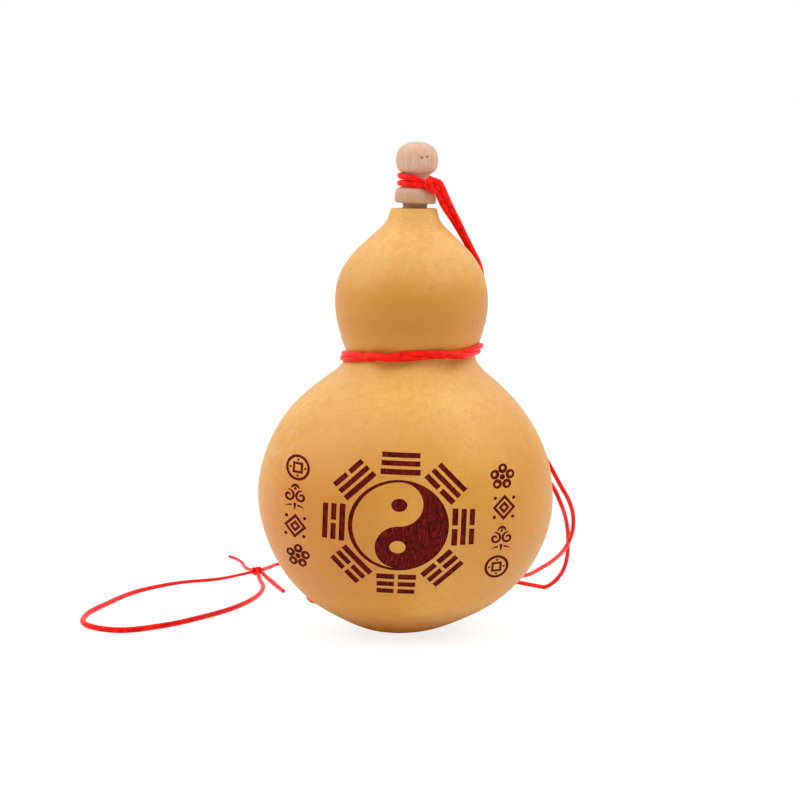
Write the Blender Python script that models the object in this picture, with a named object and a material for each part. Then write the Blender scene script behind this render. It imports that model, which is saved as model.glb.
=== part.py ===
"""A dried bottle gourd with two bulbs, plugged with a turned stopper and tied with red cord.

The gourd stands on its own sanded foot. One doubled cord is hitched around the stopper's
neck, runs down behind the small bulb, goes around the waist, and is tied there at the back.
From that knot two strands hang over the large bulb to the floor, where they meet in a second
knot with a hanging loop and two short tails.

Z is up, the engraved front faces -Y, and the origin is under the large bulb on the floor.
Every size below is in millimetres and is turned to metres where a mesh is made.
"""

import math

import bmesh
import bpy
from mathutils import Matrix, Vector

MM = 0.001

# The gourd's outside, as (height, radius) from the foot's edge to the mouth's rim.
GOURD_OUTLINE = [
    (0.0, 6.5),
    (1.5, 13.2),
    (5.0, 21.8),
    (12.0, 34.0),
    (22.0, 43.9),
    (34.0, 50.0),
    (47.0, 52.6),
    (60.0, 51.5),
    (72.0, 47.0),
    (82.0, 40.1),
    (90.0, 31.6),
    (95.5, 25.0),
    (99.6, 22.8),
    (104.4, 24.5),
    (116.5, 27.2),
    (127.0, 26.0),
    (135.0, 21.5),
    (142.0, 14.5),
    (147.0, 9.7),
    (151.3, 8.2),
]
NAVEL_RADIUS = 3.2
NAVEL_DEPTH = 0.8
WALL = 3.4
BORE_RADIUS = 5.0
GOURD_SEGMENTS = 44
WAIST_HEIGHT = 100.0

# How far the grown shape's middle stands to the right of the origin, as (height, offset).
GOURD_LEAN = [
    (0.0, -2.2),
    (8.0, -0.7),
    (22.0, 0.0),
    (60.0, 0.1),
    (85.0, 0.5),
    (100.0, 1.9),
    (118.0, 2.1),
    (140.0, 2.5),
    (151.3, 2.95),
]

# The stopper, as (height, radius) from the stem's end to the top of its ball.
STEM_OUTLINE = [(139.6, 0.0), (139.6, 3.8), (140.2, 4.3), (151.3, 4.6), (153.3, 4.6)]
FLANGE_OUTLINE = [(153.3, 7.1), (153.7, 7.45), (156.8, 7.45), (158.2, 7.0), (158.9, 6.2)]
NECK_OUTLINE = [(158.9, 4.6), (163.9, 4.6)]
BALL_OUTLINE = [
    (164.1, 5.4),
    (165.1, 6.7),
    (168.8, 7.7),
    (171.4, 7.1),
    (173.4, 5.7),
    (174.6, 4.0),
    (175.2, 2.0),
    (175.3, 0.0),
]
STOPPER_SEGMENTS = 28
STOPPER_TILT = math.radians(2.8)

# The red cord, which lies a little slimmer where nothing pulls it flat.
TIED_RADIUS = 0.95
FREE_RADIUS = 0.9
CLEARANCE = 0.3
CORD_STEP = 4.6
FLOOR_REST = 1.0

# Where the cord is tied to the stopper's neck.
NECK_WRAP_HEIGHTS = (160.3, 162.5)
NECK_KNOT = Vector((11.0, -5.4, 160.6))
NECK_KNOT_RADII = Vector((2.7, 2.6, 3.0))
NECK_KNOT_ANGLE = math.radians(-36)

# Where the cord is tied around the waist: the ring is a little higher at its right and front.
WAIST_RING_HEIGHT = 100.2
WAIST_RING_RISE_RIGHT = 1.25
WAIST_RING_RISE_FRONT = 1.0
WAIST_STRAND_SPACING = 1.15
WAIST_CROSSING = math.radians(-112)
WAIST_KNOT_ANGLE = math.radians(82)
WAIST_KNOT_REACH = 26.8
WAIST_KNOT_RADII = Vector((3.6, 2.6, 3.3))

# The doubled cord from the neck to the waist: through the air, then on the small bulb.
LINE_IN_AIR = [(11.2, -5.4, 160.2), (14.2, -2.6, 153.6), (18.4, 3.2, 146.0)]
LINE_ON_BULB = [(135.0, 25), (128.5, 27), (121.0, 34), (113.0, 46), (106.0, 60), (101.6, 74)]
LINE_SPACING = 1.12
LINE_SIDE = Vector((-0.42, 0.91, 0.0))

# The two hanging strands: on the large bulb as (height, angle), then free in the air.
STRAND_A_ON_BULB = [(95.3, 78), (92.4, 73), (88.6, 64), (83.5, 52), (77.5, 40)]
STRAND_A_FREE = [
    (43.4, 23.0, 71.0),
    (49.0, 20.6, 63.5),
    (53.3, 20.4, 56.3),
    (57.0, 22.8, 49.4),
    (60.2, 28.0, 43.6),
    (62.5, 35.0, 36.9),
    (62.9, 41.0, 30.2),
    (61.6, 48.0, 24.0),
    (59.9, 59.0, 18.6),
    (57.2, 72.0, 13.2),
    (53.2, 87.0, 7.6),
    (49.6, 101.0, 2.9),
    (46.5, 111.0, FLOOR_REST),
    (35.0, 132.0, FLOOR_REST),
    (14.0, 148.0, FLOOR_REST),
    (-14.0, 156.0, FLOOR_REST),
    (-38.0, 152.0, FLOOR_REST),
    (-51.0, 140.5, FLOOR_REST),
    (-56.6, 128.0, FLOOR_REST),
    (-59.2, 119.3, 1.6),
]
STRAND_B_ON_BULB = [(95.3, 86), (92.0, 84), (88.0, 78), (82.5, 67), (76.0, 54), (69.0, 42)]
STRAND_B_FREE = [
    (44.6, 28.6, 61.5),
    (50.0, 26.6, 54.6),
    (54.7, 27.4, 47.9),
    (57.4, 32.0, 42.2),
    (59.7, 40.0, 36.2),
    (61.5, 49.0, 29.0),
    (62.2, 57.0, 22.7),
    (62.3, 66.0, 14.6),
    (61.0, 73.0, 8.6),
    (58.0, 79.4, 3.4),
    (54.6, 83.6, FLOOR_REST),
    (50.6, 88.0, FLOOR_REST),
    (43.0, 96.0, FLOOR_REST),
    (26.0, 102.0, FLOOR_REST),
    (4.0, 94.0, FLOOR_REST),
    (-12.0, 74.0, FLOOR_REST),
    (-24.0, 56.0, FLOOR_REST),
    (-34.0, 50.0, FLOOR_REST),
    (-38.6, 58.0, FLOOR_REST),
    (-38.0, 76.0, FLOOR_REST),
    (-39.0, 100.0, FLOOR_REST),
    (-44.0, 121.0, FLOOR_REST),
    (-50.4, 130.0, FLOOR_REST),
    (-55.2, 124.0, FLOOR_REST),
    (-56.8, 118.0, 1.6),
]

# The knot on the floor, the hanging loop beyond it, and the cord's two ends.
LOOP_KNOT = Vector((-59.8, 115.0, 2.7))
LOOP_KNOT_RADII = Vector((3.4, 3.2, 2.5))
LOOP_ROUTE = [
    (-63.1, 112.9, 1.6),
    (-74.0, 103.4, FLOOR_REST),
    (-90.0, 93.8, FLOOR_REST),
    (-103.2, 76.0, FLOOR_REST),
    (-113.0, 47.0, FLOOR_REST),
    (-118.0, 22.0, FLOOR_REST),
    (-115.0, 3.0, FLOOR_REST),
    (-102.6, -6.4, FLOOR_REST),
    (-88.6, 1.6, FLOOR_REST),
    (-75.4, 18.4, FLOOR_REST),
    (-63.9, 39.6, FLOOR_REST),
    (-57.0, 64.0, FLOOR_REST),
    (-55.8, 84.0, FLOOR_REST),
    (-58.0, 101.0, FLOOR_REST),
    (-59.3, 111.1, 1.6),
]
TAIL_LEFT_ROUTE = [(-61.7, 118.5, 1.8), (-64.2, 131.0, 1.0), (-68.6, 147.0, 1.0), (-74.4, 156.5, 1.0)]
TAIL_RIGHT_ROUTE = [(-56.2, 112.9, 1.9), (-54.2, 103.0, 1.0), (-51.6, 89.0, 1.0), (-47.1, 74.0, 1.0)]


def smooth_through(points, per_span=14, closed=False):
    """Reads points along a smooth curve that passes through the given ones."""
    points = [Vector(point) for point in points]
    count = len(points)
    tangents = []
    for i, point in enumerate(points):
        before = points[(i - 1) % count] if closed or i > 0 else point
        after = points[(i + 1) % count] if closed or i < count - 1 else point
        reach_before = (point - before).length
        reach_after = (after - point).length
        tangent = (point - before) * reach_after + (after - point) * reach_before
        if reach_before == 0:
            tangent = after - point
        if reach_after == 0:
            tangent = point - before
        tangents.append(tangent.normalized())
    curve = []
    for i in range(count if closed else count - 1):
        start = points[i]
        end = points[(i + 1) % count]
        third = (end - start).length / 3
        start_handle = start + tangents[i] * third
        end_handle = end - tangents[(i + 1) % count] * third
        for step in range(per_span):
            t = step / per_span
            curve.append(bezier_point(start, start_handle, end_handle, end, t))
    if not closed:
        curve.append(points[-1])
    return curve


def bezier_point(start, start_handle, end_handle, end, t):
    """Gives the point at share t of one Bezier span."""
    s = 1 - t
    return start * s**3 + start_handle * (3 * s * s * t) + end_handle * (3 * s * t * t) + end * t**3


def evenly_spaced(curve, spacing):
    """Picks points at equal distances along a finely divided curve."""
    travelled = [0.0]
    for before, after in zip(curve, curve[1:]):
        travelled.append(travelled[-1] + (after - before).length)
    count = max(2, round(travelled[-1] / spacing))
    picked = []
    i = 0
    for step in range(count + 1):
        goal = travelled[-1] * step / count
        while i < len(curve) - 2 and travelled[i + 1] < goal:
            i += 1
        share = (goal - travelled[i]) / (travelled[i + 1] - travelled[i])
        picked.append(curve[i].lerp(curve[i + 1], share))
    return picked


def read_between(stations, height):
    """Reads a (height, value) list at any height, with straight lines between stations."""
    for (low, low_value), (high, high_value) in zip(stations, stations[1:]):
        if height <= high:
            share = max(0.0, (height - low) / (high - low))
            return low_value + (high_value - low_value) * share
    return stations[-1][1]


def outline_points(stations, per_span):
    """Turns (height, radius) stations into a smooth outline in the XZ plane."""
    return smooth_through([(radius, 0.0, height) for height, radius in stations], per_span)


GOURD_CURVE = outline_points(GOURD_OUTLINE, 16)
GOURD_RADII = [(point.z, point.x) for point in GOURD_CURVE]
LEAN_CURVE = [(point.z, point.x) for point in outline_points(GOURD_LEAN, 8)]


def lean(height):
    """Gives how far the gourd's middle stands to the right at this height."""
    return read_between(LEAN_CURVE, height)


def on_gourd(height, angle, clear):
    """Gives a point this far off the gourd's sloping skin, at an angle from +X towards +Y."""
    radius = read_between(GOURD_RADII, height)
    slope = (read_between(GOURD_RADII, height + 0.5) - read_between(GOURD_RADII, height - 0.5)) / 1.0
    reach = radius + clear * math.hypot(1.0, slope)
    return Vector((lean(height) + reach * math.cos(angle), reach * math.sin(angle), height))


def make_material(name, color, roughness, sheen=0.0):
    """Makes a plain material of one colour."""
    material = bpy.data.materials.new(name)
    material.use_nodes = True
    shader = material.node_tree.nodes["Principled BSDF"]
    shader.inputs["Base Color"].default_value = (*color, 1.0)
    shader.inputs["Roughness"].default_value = roughness
    shader.inputs["Metallic"].default_value = 0.0
    shader.inputs["Sheen Weight"].default_value = sheen
    material.diffuse_color = (*color, 1.0)
    return material


def add_object(name, mesh, material):
    """Puts a mesh in the scene under its part's name."""
    obj = bpy.data.objects.new(name, mesh)
    bpy.context.scene.collection.objects.link(obj)
    obj.data.materials.clear()
    obj.data.materials.append(material)
    return obj


def turned_mesh(name, outline, segments):
    """Spins an outline around Z into one closed mesh, in millimetres."""
    mesh = bpy.data.meshes.new(name)
    bm = bmesh.new()
    verts = [bm.verts.new(point) for point in outline]
    edges = [bm.edges.new(pair) for pair in zip(verts, verts[1:])]
    bmesh.ops.spin(
        bm,
        geom=verts + edges,
        cent=(0, 0, 0),
        axis=(0, 0, 1),
        angle=math.tau,
        steps=segments,
        use_merge=True,
    )
    bmesh.ops.remove_doubles(bm, verts=bm.verts, dist=0.001)
    bmesh.ops.recalc_face_normals(bm, faces=bm.faces)
    bm.to_mesh(mesh)
    bm.free()
    return mesh


def smooth_shaded(mesh, sharp_degrees):
    """Shades a turned piece smooth, and keeps its real edges sharp."""
    mesh.shade_smooth()
    mesh.set_sharp_from_angle(angle=math.radians(sharp_degrees))


def inner_outline():
    """Gives the inside of the gourd, one wall's thickness in, from the bore to the floor."""
    inner = []
    for before, after in zip(GOURD_CURVE, GOURD_CURVE[1:]):
        middle = (before + after) / 2
        along = (after - before).normalized()
        point = middle + Vector((-along.z, 0, along.x)) * WALL
        if WALL * 1.2 < point.z < 145.5 and point.x > BORE_RADIUS + 0.6:
            inner.append(point)
    inner = evenly_spaced(inner, 9.0)
    inner.reverse()
    return inner + [Vector((0, 0, WALL * 1.25))]


def make_gourd(material):
    """Makes the hollow gourd: its foot, skin, rim, bore and inside are one closed surface."""
    foot = [Vector((0, 0, NAVEL_DEPTH)), Vector((NAVEL_RADIUS * 0.6, 0, NAVEL_DEPTH * 0.9))]
    foot.append(Vector((NAVEL_RADIUS, 0, 0)))
    skin = evenly_spaced(GOURD_CURVE, 5.0)
    skin.insert(-1, skin[-1] + Vector((0.25, 0, -0.5)))
    rim = GOURD_OUTLINE[-1][0]
    bore = [Vector((BORE_RADIUS, 0, rim)), Vector((BORE_RADIUS, 0, 147.5))]
    mesh = turned_mesh("gourd_shell", foot + skin + bore + inner_outline(), GOURD_SEGMENTS)
    for vertex in mesh.vertices:
        vertex.co.x += lean(vertex.co.z)
    mesh.transform(Matrix.Scale(MM, 4))
    smooth_shaded(mesh, 50)
    return add_object("gourd_shell", mesh, material)


def stopper_pose():
    """Leans the stopper the way that the gourd's mouth leans."""
    seat = GOURD_OUTLINE[-1][0]
    to_mouth = Matrix.Translation((lean(seat), 0, seat))
    return to_mouth @ Matrix.Rotation(STOPPER_TILT, 4, "Y") @ Matrix.Translation((0, 0, -seat))


def make_stopper(material):
    """Turns the stopper: a tapered stem, a flange, a neck for the cord, and a ball."""
    outline = [Vector((radius, 0, height)) for height, radius in STEM_OUTLINE + FLANGE_OUTLINE]
    outline += [Vector((radius, 0, height)) for height, radius in NECK_OUTLINE]
    ball = evenly_spaced(outline_points(BALL_OUTLINE, 8), 1.3)
    mesh = turned_mesh("stopper", outline + ball, STOPPER_SEGMENTS)
    mesh.transform(Matrix.Scale(MM, 4) @ stopper_pose())
    smooth_shaded(mesh, 40)
    return add_object("stopper", mesh, material)


def make_cord(name, route, radius, material, closed=False):
    """Lays a round cord along a route, as a curve with a bevel and filled ends."""
    if closed:
        route = route[:-1]
    curve = bpy.data.curves.new(name, "CURVE")
    curve.dimensions = "3D"
    curve.bevel_depth = radius * MM
    curve.bevel_resolution = 2
    curve.use_fill_caps = True
    curve.materials.append(material)
    spline = curve.splines.new("POLY")
    spline.points.add(len(route) - 1)
    for spot, point in zip(spline.points, route):
        spot.co = (*(point * MM), 1.0)
    spline.use_cyclic_u = closed
    spline.use_smooth = True
    cord = bpy.data.objects.new(name, curve)
    bpy.context.scene.collection.objects.link(cord)
    return cord


def as_mesh(cord):
    """Swaps a cord's curve for a closed mesh of the same shape, so that it can be joined."""
    mesh = bpy.data.meshes.new_from_object(cord.evaluated_get(bpy.context.evaluated_depsgraph_get()))
    bm = bmesh.new()
    bm.from_mesh(mesh)
    bmesh.ops.remove_doubles(bm, verts=bm.verts, dist=0.000001)
    bmesh.ops.recalc_face_normals(bm, faces=bm.faces)
    bm.to_mesh(mesh)
    bm.free()
    solid = bpy.data.objects.new(cord.name + "_solid", mesh)
    bpy.context.scene.collection.objects.link(solid)
    bpy.data.objects.remove(cord)
    return solid


def make_knot(name, centre, radii, turn, material, rings=10):
    """Makes a knot's plain outer shape: a ball stretched to the knot's size."""
    mesh = bpy.data.meshes.new(name)
    bm = bmesh.new()
    bmesh.ops.create_uvsphere(bm, u_segments=16, v_segments=rings, radius=1.0)
    stretch = Matrix.Diagonal((*radii, 1.0))
    place = Matrix.Translation(centre) @ Matrix.Rotation(turn, 4, "Z") @ stretch
    bmesh.ops.transform(bm, matrix=Matrix.Scale(MM, 4) @ place, verts=bm.verts)
    bm.to_mesh(mesh)
    bm.free()
    mesh.shade_smooth()
    return add_object(name, mesh, material)


def join_solids(body, others):
    """Melts the other solids into the first one, so that a knotted cord is one body."""
    for number, other in enumerate(others):
        union = body.modifiers.new("join_%d" % number, "BOOLEAN")
        union.operation = "UNION"
        union.solver = "EXACT"
        union.object = other
        other.hide_render = True
        other.display_type = "WIRE"


def neck_wrap_route():
    """Winds the cord twice around the stopper's neck, and leads both ends into the knot."""
    low, high = NECK_WRAP_HEIGHTS
    reach = NECK_OUTLINE[0][1] + CLEARANCE + TIED_RADIUS
    pose = stopper_pose()
    route = []
    steps = 44
    for step in range(steps + 1):
        share = step / steps
        angle = NECK_KNOT_ANGLE - math.tau * 2.0 * share
        height = low + (high - low) * min(1.0, max(0.0, (share - 0.35) / 0.3))
        end = min(share, 1 - share)
        outward = 2.6 * max(0.0, 1 - end / 0.06)
        flat = Vector(((reach + outward) * math.cos(angle), (reach + outward) * math.sin(angle), height))
        route.append(pose @ flat)
    return route


def line_routes():
    """Gives the two strands of the doubled cord from the neck's knot to the waist's knot."""
    clear = CLEARANCE + TIED_RADIUS + 0.15
    middle = [Vector(point) for point in LINE_IN_AIR]
    middle += [on_gourd(height, math.radians(degrees), clear) for height, degrees in LINE_ON_BULB]
    middle = evenly_spaced(smooth_through(middle), CORD_STEP)
    routes = []
    for side in (1, -1):
        route = []
        for point in middle:
            radial = Vector((point.x - lean(point.z), point.y, 0)).normalized()
            around = Vector((-radial.y, radial.x, 0))
            share = min(1.0, max(0.0, (150 - point.z) / 20))
            offset = LINE_SIDE.lerp(around, share).normalized() * (LINE_SPACING * side)
            route.append(point + offset)
        routes.append(route)
    return routes


def waist_ring_route(side):
    """Gives one of the two strands around the waist: they change places at the crossing."""
    route = []
    steps = 34
    for step in range(steps + 1):
        angle = math.tau * step / steps
        from_crossing = math.remainder(angle - WAIST_CROSSING, math.tau)
        from_knot = math.remainder(angle - WAIST_KNOT_ANGLE, math.tau)
        swap = math.tanh(from_crossing / 0.16) * math.tanh(-from_knot / 0.12)
        lift = 0.9 * math.exp(-((from_crossing / 0.2) ** 2)) if side > 0 else 0.0
        height = WAIST_RING_HEIGHT + WAIST_STRAND_SPACING * swap * side
        height += WAIST_RING_RISE_RIGHT * math.cos(angle) - WAIST_RING_RISE_FRONT * math.sin(angle)
        route.append(on_gourd(height, angle, CLEARANCE + TIED_RADIUS + 0.4 + lift))
    return route


def waist_knot_centre():
    """Gives the middle of the knot at the back of the waist."""
    x = lean(WAIST_HEIGHT) + WAIST_KNOT_REACH * math.cos(WAIST_KNOT_ANGLE)
    return Vector((x, WAIST_KNOT_REACH * math.sin(WAIST_KNOT_ANGLE), WAIST_RING_HEIGHT - 1.0))


def make_tied_cord(material):
    """Makes the tied part of the cord, from the stopper's neck to the knot behind the waist."""
    body = as_mesh(make_cord("waist_low", waist_ring_route(-1), TIED_RADIUS, material, True))
    body.name = "tied_cord"
    others = [as_mesh(make_cord("waist_high", waist_ring_route(1), TIED_RADIUS, material, True))]
    turn = WAIST_KNOT_ANGLE - math.pi / 2
    others.append(make_knot("waist_knot", waist_knot_centre(), WAIST_KNOT_RADII, turn, material))
    for number, route in enumerate(line_routes()):
        others.append(as_mesh(make_cord("line_%d" % number, route, TIED_RADIUS, material)))
    others.append(make_knot("neck_knot", NECK_KNOT, NECK_KNOT_RADII, NECK_KNOT_ANGLE, material))
    others.append(as_mesh(make_cord("neck_wrap", neck_wrap_route(), TIED_RADIUS, material)))
    join_solids(body, others)
    return body


def strand_route(on_bulb, free):
    """Joins a hanging strand's route over the large bulb to its route through the air."""
    clear = CLEARANCE + FREE_RADIUS + 0.15
    points = [on_gourd(height, math.radians(degrees), clear) for height, degrees in on_bulb]
    points += [Vector(point) for point in free]
    return evenly_spaced(smooth_through(points), CORD_STEP)


def make_free_cords(material):
    """Makes the hanging strands, the floor knot, the loop and the two tails."""
    strand_a = strand_route(STRAND_A_ON_BULB, STRAND_A_FREE)
    make_cord("hanging_strand_a", strand_a, FREE_RADIUS, material)
    strand_b = strand_route(STRAND_B_ON_BULB, STRAND_B_FREE)
    make_cord("hanging_strand_b", strand_b, FREE_RADIUS, material)
    make_knot("loop_knot", LOOP_KNOT, LOOP_KNOT_RADII, 0.3, material)
    loop = evenly_spaced(smooth_through(LOOP_ROUTE), CORD_STEP)
    make_cord("hanging_loop", loop, FREE_RADIUS, material)
    tails = (("tail_left", TAIL_LEFT_ROUTE), ("tail_right", TAIL_RIGHT_ROUTE))
    for name, route in tails:
        make_cord(name, evenly_spaced(smooth_through(route), 3.6), FREE_RADIUS, material)


def main():
    """Clears the scene and builds the gourd, its stopper and its cord."""
    for obj in list(bpy.data.objects):
        bpy.data.objects.remove(obj)
    rind = make_material("dried_gourd_rind", (0.73, 0.40, 0.10), 0.42)
    wood = make_material("turned_pale_wood", (0.68, 0.48, 0.32), 0.62)
    satin = make_material("red_satin_cord", (0.80, 0.01, 0.006), 0.40, 0.4)
    make_gourd(rind)
    make_stopper(wood)
    make_tied_cord(satin)
    make_free_cords(satin)


main()
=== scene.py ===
# %% [markdown]
# # A dried bottle gourd, engraved and tied with red cord
#
# The real object is a small bottle gourd, dried until its rind is as hard as wood. A sign of the
# two halves of the world and its eight trigrams is burnt into the front by a laser. A turned
# wooden stopper closes the mouth, and one red satin cord is hitched around the stopper's neck,
# runs down behind the small bulb, goes around the waist and hangs to the table.
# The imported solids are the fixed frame, and this script dresses them.

import math

import bmesh
import bpy
import numpy as np
from mathutils import Matrix, Vector, noise
from mathutils.bvhtree import BVHTree


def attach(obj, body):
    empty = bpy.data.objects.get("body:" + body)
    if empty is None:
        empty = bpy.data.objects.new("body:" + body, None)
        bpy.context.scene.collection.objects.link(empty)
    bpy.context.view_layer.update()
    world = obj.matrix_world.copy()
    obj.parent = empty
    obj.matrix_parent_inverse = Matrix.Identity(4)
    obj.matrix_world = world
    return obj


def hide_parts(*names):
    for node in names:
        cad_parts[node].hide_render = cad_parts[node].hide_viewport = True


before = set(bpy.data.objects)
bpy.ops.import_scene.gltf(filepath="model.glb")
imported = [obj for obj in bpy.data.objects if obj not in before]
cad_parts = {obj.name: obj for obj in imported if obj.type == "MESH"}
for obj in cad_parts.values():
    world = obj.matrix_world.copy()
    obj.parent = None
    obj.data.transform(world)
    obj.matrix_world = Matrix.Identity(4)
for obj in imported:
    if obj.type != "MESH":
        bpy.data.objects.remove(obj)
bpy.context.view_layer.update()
MM = 0.001
print("solids:", sorted(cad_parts))

# %% [markdown]
# A few small helpers serve every piece. Colours are written as on a paint chart, in sRGB hex, and
# one function turns them to the linear numbers that Blender computes with. One function adds a
# shader node with its settings and links, and the short ones after it name what most materials
# need: a noise, a change of range, one colour over another, a colour ramp, a sum and a bump. The
# last three are for shapes. One leaves one object selected, because an operator acts on everything
# that is selected. One draws points as a curve and converts it to a mesh, and one closes a mesh
# with all its faces turned outwards.


# %% Helpers for colours, shader nodes and the selection
def linear(hex_colour):
    """Turns an sRGB hex colour to linear red, green and blue, with a full alpha."""
    shares = [int(hex_colour[i : i + 2], 16) / 255 for i in (1, 3, 5)]
    return (*[s / 12.92 if s <= 0.04045 else ((s + 0.055) / 1.055) ** 2.4 for s in shares], 1.0)


def add_node(tree, kind, inputs=(), ramp=(), **settings):
    """Adds one shader node. Inputs are values or other nodes' sockets, by name or number."""
    node = tree.nodes.new("ShaderNode" + kind)
    for name, value in settings.items():
        setattr(node, name, value)
    for name, value in dict(inputs).items():
        if isinstance(value, bpy.types.NodeSocket):
            tree.links.new(value, node.inputs[name])
        else:
            node.inputs[name].default_value = value
    for number, (place, hex_colour) in enumerate(ramp):
        stops = node.color_ramp.elements
        stop = stops[number] if number < 2 else stops.new(place)
        stop.position, stop.color = place, linear(hex_colour)
    return node


def new_material(name, **uniform):
    """Makes a material and sets the shader values that are the same all over it."""
    material = bpy.data.materials.new(name)
    material.use_nodes = True
    shader = material.node_tree.nodes["Principled BSDF"]
    for socket, value in uniform.items():
        shader.inputs[socket.replace("_", " ")].default_value = value
    return material, material.node_tree, shader


def per_mm(size):
    """Gives the texture scale at which a pattern repeats about once in this many millimetres."""
    return 1000.0 / size


def clouded(tree, place, size, detail, **more):
    """Gives a soft noise whose patches are about this many millimetres wide."""
    inputs = {"Vector": place, "Scale": per_mm(size), "Detail": detail, **more}
    return add_node(tree, "TexNoise", inputs).outputs["Fac"]


def mapped(tree, value, low, high, at_low=0.0, at_high=1.0, kind="LINEAR"):
    """Turns low to high into at_low to at_high, and holds the ends beyond them."""
    ends = {"Value": value, 1: low, 2: high, 3: at_low, 4: at_high}
    return add_node(tree, "MapRange", ends, interpolation_type=kind).outputs[0]


def laid_over(tree, share, under, hex_colour):
    """Lays a colour over another one, by a share from 0 to 1 that may change from place to place."""
    inputs = {0: share, 6: under, 7: linear(hex_colour)}
    return add_node(tree, "Mix", inputs, data_type="RGBA").outputs[2]


def coloured(tree, value, ramp):
    """Turns a value into colours along a ramp."""
    return add_node(tree, "ValToRGB", {"Fac": value}, ramp=ramp).outputs["Color"]


def computed(tree, operation, *values):
    """Gives the result of one arithmetic step."""
    return add_node(tree, "Math", dict(enumerate(values)), operation=operation).outputs[0]


def bumped(tree, height, strength, depth, **more):
    """Gives a bump this many millimetres deep."""
    inputs = {"Height": height, "Strength": strength, "Distance": depth * MM, **more}
    return add_node(tree, "Bump", inputs).outputs[0]


def only(obj):
    """Leaves one object selected and active."""
    bpy.ops.object.select_all(action="DESELECT")
    obj.select_set(True)
    bpy.context.view_layer.objects.active = obj


def drawn(name, chains, **settings):
    """Draws chains of points, in metres, as one curve object, and converts it to a mesh."""
    curve = bpy.data.curves.new(name, "CURVE")
    for setting, value in settings.items():
        setattr(curve, setting, value)
    for chain in chains:
        spline = curve.splines.new("POLY")
        spline.points.add(len(chain) - 1)
        for spot, point in zip(spline.points, chain):
            spot.co = (*point, 1.0)
        spline.use_cyclic_u = curve.dimensions == "2D"
    obj = bpy.data.objects.new(name, curve)
    bpy.context.scene.collection.objects.link(obj)
    only(obj)
    bpy.ops.object.convert(target="MESH")
    return bpy.context.object


def closed_up(obj, merged=0.0):
    """Merges points that lie this close, in millimetres, and turns every face outwards."""
    only(obj)
    bpy.ops.object.mode_set(mode="EDIT")
    bpy.ops.mesh.select_all(action="SELECT")
    if merged:
        bpy.ops.mesh.remove_doubles(threshold=merged * MM)
    bpy.ops.mesh.normals_make_consistent(inside=False)
    bpy.ops.object.mode_set(mode="OBJECT")
    return obj


print("one millimetre is", MM, "in the scene's metres")

# %% [markdown]
# The camera comes first. It is a long lens almost a metre away, a little above the gourd and
# tipped down about six degrees, so that the bulbs keep their true proportions.

# %% Place the camera
CAMERA_PLACE = (-0.00195, -0.900, 0.174)
TIPPED_DOWN = 5.76
SENSOR_WIDTH, LENS, ROOM_DEPTH = 36, 114, 20
bpy.ops.object.camera_add(location=CAMERA_PLACE, rotation=(math.radians(90 - TIPPED_DOWN), 0, 0))
camera = bpy.context.object
camera.name = "camera"
camera.data.sensor_width = SENSOR_WIDTH
camera.data.lens = LENS
camera.data.clip_end = ROOM_DEPTH
bpy.context.scene.camera = camera
bpy.context.scene.view_settings.view_transform = "Standard"
print("camera at", tuple(round(c, 4) for c in camera.location))

# %% [markdown]
# A gourd grows around a middle line, so it is drawn as half an outline and spun around it, as a
# potter would turn it. The stations are heights and radii in millimetres, joined by one smooth
# curve. The same curve, moved inwards by the thickness of the rind, gives the hollow.

# %% The gourd's outline, as heights and radii in millimetres
GOURD_OUTLINE = [
    (0.0, 6.5),
    (1.5, 13.2),
    (5.0, 21.8),
    (12.0, 34.0),
    (22.0, 43.9),
    (34.0, 50.0),
    (47.0, 52.6),
    (60.0, 51.5),
    (72.0, 47.0),
    (82.0, 40.1),
    (90.0, 31.6),
    (95.5, 25.0),
    (99.6, 22.8),
    (104.4, 24.5),
    (116.5, 27.2),
    (127.0, 26.0),
    (135.0, 21.5),
    (142.0, 14.5),
    (147.0, 9.7),
    (151.3, 8.2),
]
GOURD_LEAN = [
    (0.0, -2.2),
    (8.0, -0.7),
    (22.0, 0.0),
    (60.0, 0.1),
    (85.0, 0.5),
    (100.0, 1.9),
    (118.0, 2.1),
    (140.0, 2.5),
    (151.3, 2.95),
]
TOP, WAIST = 151.3, 100
WALL = 3.4
BORE_RADIUS = 5.0
# Radius and height, from the middle of the navel outwards, and from the rim down into the bore.
NAVEL = [(0.0, 0.8), (1.9, 0.7), (2.8, 0.3), (3.4, 0.0)]
RIM_TOP = 151.55
MOUTH = [(7.9, RIM_TOP), (5.4, 151.5), (BORE_RADIUS, 151.2), (BORE_RADIUS, 147.5)]


def smooth_through(points, per_span=14, closed=False):
    """Reads points along a smooth curve that passes through the given ones."""
    points = [Vector(point) for point in points]
    count = len(points)
    tangents = []
    for i, point in enumerate(points):
        before = points[(i - 1) % count] if closed or i > 0 else point
        after = points[(i + 1) % count] if closed or i < count - 1 else point
        reach_before = (point - before).length
        reach_after = (after - point).length
        tangent = (point - before) * reach_after + (after - point) * reach_before
        if reach_before == 0:
            tangent = after - point
        if reach_after == 0:
            tangent = point - before
        tangents.append(tangent.normalized())
    curve = []
    for i in range(count if closed else count - 1):
        start, end = points[i], points[(i + 1) % count]
        third = (end - start).length / 3
        start_handle = start + tangents[i] * third
        end_handle = end - tangents[(i + 1) % count] * third
        for step in range(per_span):
            t = step / per_span
            s = 1 - t
            pull = start_handle * (3 * s * s * t) + end_handle * (3 * s * t * t)
            curve.append(start * s**3 + pull + end * t**3)
    if not closed:
        curve.append(points[-1])
    return curve


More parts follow.
